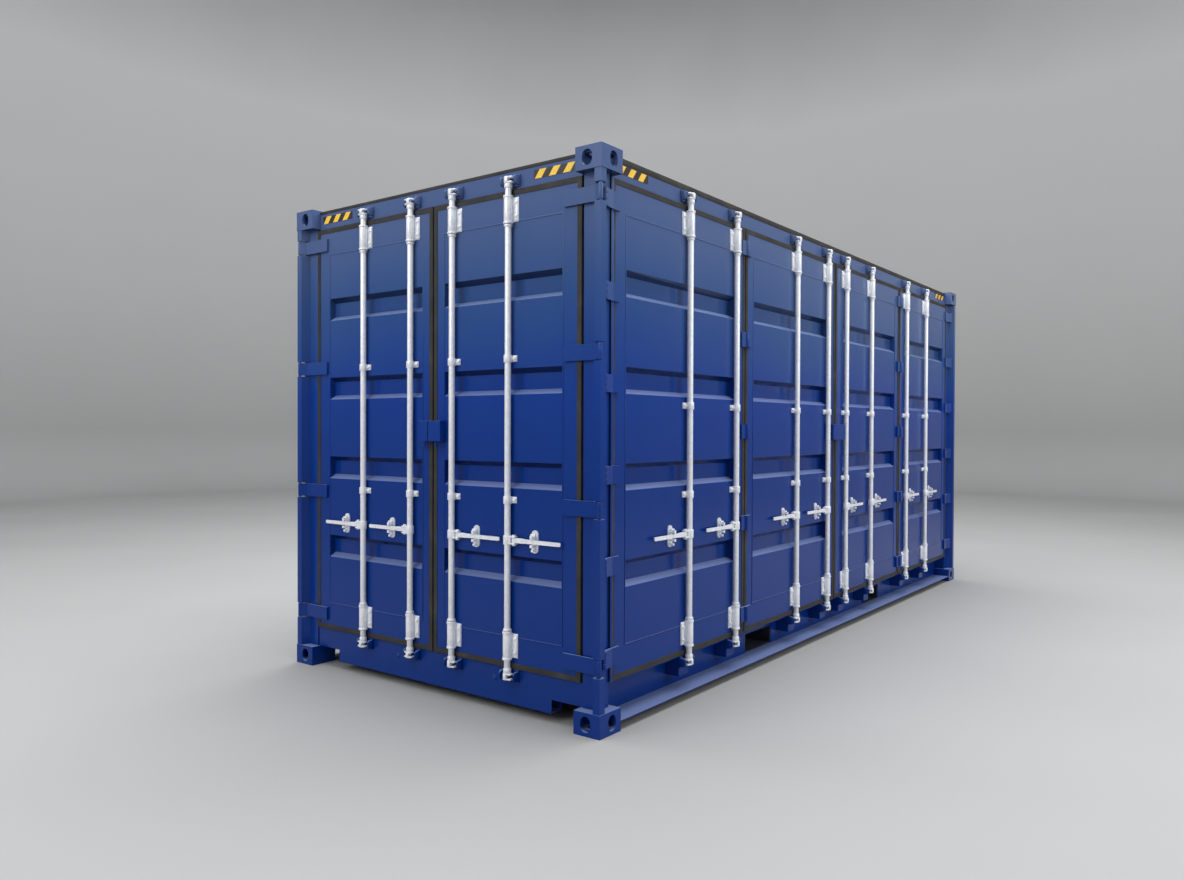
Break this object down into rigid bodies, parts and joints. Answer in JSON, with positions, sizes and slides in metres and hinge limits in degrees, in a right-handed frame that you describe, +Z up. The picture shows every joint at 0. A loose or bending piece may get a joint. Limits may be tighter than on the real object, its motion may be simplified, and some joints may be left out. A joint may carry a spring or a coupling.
{
  "type": "shipping container with side doors",
  "caption": "Steel freight container with double doors at one end, folding doors along one side, lock bars, corner castings, fork pockets and a hollow cargo space.",
  "frame": {"origin": "on the ground under the middle of the container, level with the undersides of the bottom castings", "axes": "+X along the length from the end doors to the closed end, +Y from the folding side doors to the closed side, +Z up"},
  "size_m": [6.058, 2.438, 2.896],
  "materials": {
    "paint": "deep blue marine enamel, semi-gloss",
    "underframe_paint": "dark matt underframe coating",
    "galvanised": "hot-dip galvanised",
    "seal_rubber": "matt black",
    "floor_plywood": "varnished plywood"
  },
  "bodies": {
    "frame": {"bottom_castings": "paint", "top_castings": "paint", "corner_post_shared": "paint", "corner_post_end_doors": "paint", "corner_post_side_doors": "paint", "corner_post_back": "paint", "end_door_header": "paint", "end_door_sill": "paint", "side_door_header": "paint", "side_door_sill": "paint", "back_top_rail": "paint", "back_bottom_rail": "paint", "far_end_header": "paint", "far_end_sill": "paint", "back_wall": "paint", "end_wall": "paint", "roof_panel": "paint", "roof_end_plates": "paint", "floor_boards": "floor_plywood", "cross_members": "underframe_paint", "fork_pockets": "underframe_paint", "end_hinge_pins": "galvanised", "side_leaf_1": "paint", "side_leaf_2": "paint", "side_leaf_3": "paint", "side_leaf_4": "paint", "side_seals": "seal_rubber", "side_post_hinges": "paint", "side_fold_hinges": "paint", "end_keepers": "paint", "side_lock_bars": "galvanised", "side_bearing_brackets": "galvanised", "side_handle_catches": "galvanised", "side_keepers": "paint", "side_lock_box": "paint"},
    "right_leaf": {"end_leaf_right": "paint", "end_seal_right": "seal_rubber", "end_straps_right": "paint", "end_bearings_right": "galvanised", "end_catches_right": "galvanised", "end_lock_box_right": "paint"},
    "left_leaf": {"end_leaf_left": "paint", "end_seal_left": "seal_rubber", "end_straps_left": "paint", "end_bearings_left": "galvanised", "end_catches_left": "galvanised", "end_lock_box_left": "paint"},
    "bar_1": {"end_bar_1": "galvanised"},
    "bar_2": {"end_bar_2": "galvanised"},
    "bar_3": {"end_bar_3": "galvanised"},
    "bar_4": {"end_bar_4": "galvanised"}
  },
  "joints": [
    {"name": "right_end_door", "type": "hinge", "parent": "frame", "child": "right_leaf", "pos_m": [-3.015, -1.204, 0], "axis": [0, 0, 1], "range_deg": [0, 265]},
    {"name": "left_end_door", "type": "hinge", "parent": "frame", "child": "left_leaf", "pos_m": [-3.015, 1.204, 0], "axis": [0, 0, -1], "range_deg": [0, 265]},
    {"name": "end_lock_bar_1", "type": "hinge", "parent": "left_leaf", "child": "bar_1", "pos_m": [-3.002, 0.5895, 0], "axis": [0, 0, -1], "range_deg": [-105, 0]},
    {"name": "end_lock_bar_2", "type": "hinge", "parent": "left_leaf", "child": "bar_2", "pos_m": [-3.002, 0.1705, 0], "axis": [0, 0, -1], "range_deg": [-105, 0]},
    {"name": "end_lock_bar_3", "type": "hinge", "parent": "right_leaf", "child": "bar_3", "pos_m": [-3.002, -0.1705, 0], "axis": [0, 0, 1], "range_deg": [-105, 0]},
    {"name": "end_lock_bar_4", "type": "hinge", "parent": "right_leaf", "child": "bar_4", "pos_m": [-3.002, -0.5895, 0], "axis": [0, 0, 1], "range_deg": [-105, 0]}
  ]
}
